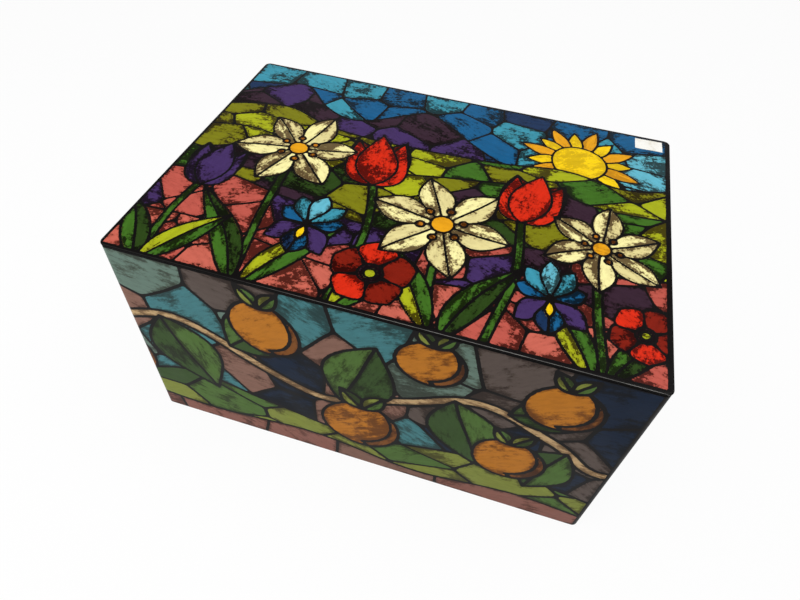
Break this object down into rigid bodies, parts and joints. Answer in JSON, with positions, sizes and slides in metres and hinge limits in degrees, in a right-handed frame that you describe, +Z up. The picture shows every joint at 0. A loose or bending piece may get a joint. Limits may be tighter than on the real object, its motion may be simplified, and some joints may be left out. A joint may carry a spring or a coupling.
{
  "type": "hinged tin box",
  "caption": "Large rectangular printed tinplate box with a flat lid on strap hinges, for keeping food, sewing things or keepsakes.",
  "frame": {"origin": "on the ground at the middle of the footprint", "axes": "+Z up, +X along the length to the right as seen from the front, front faces -Y, hinges at +Y"},
  "size_m": [0.3, 0.2136, 0.16],
  "materials": {
    "lid_print": "glossy lithographed tinplate",
    "wall_print": "lithographed tinplate, a little dulled",
    "tinplate": "bare tinplate",
    "hinge_wire": "drawn steel wire"
  },
  "bodies": {
    "tin_body": {"front_wall_sheet": "wall_print", "back_wall_sheet": "wall_print", "bottom_panel": "tinplate", "mouth_collar": "tinplate", "left_body_strap": "tinplate", "right_body_strap": "tinplate", "left_hinge_pin": "hinge_wire", "right_hinge_pin": "hinge_wire"},
    "lid": {"lid_panel": "lid_print", "left_lid_strap": "tinplate", "right_lid_strap": "tinplate"}
  },
  "joints": [
    {"name": "lid_hinge", "type": "hinge", "parent": "tin_body", "child": "lid", "pos_m": [0, 0.1037, 0.1571], "axis": [-1, 0, 0], "range_deg": [0, 139]}
  ]
}
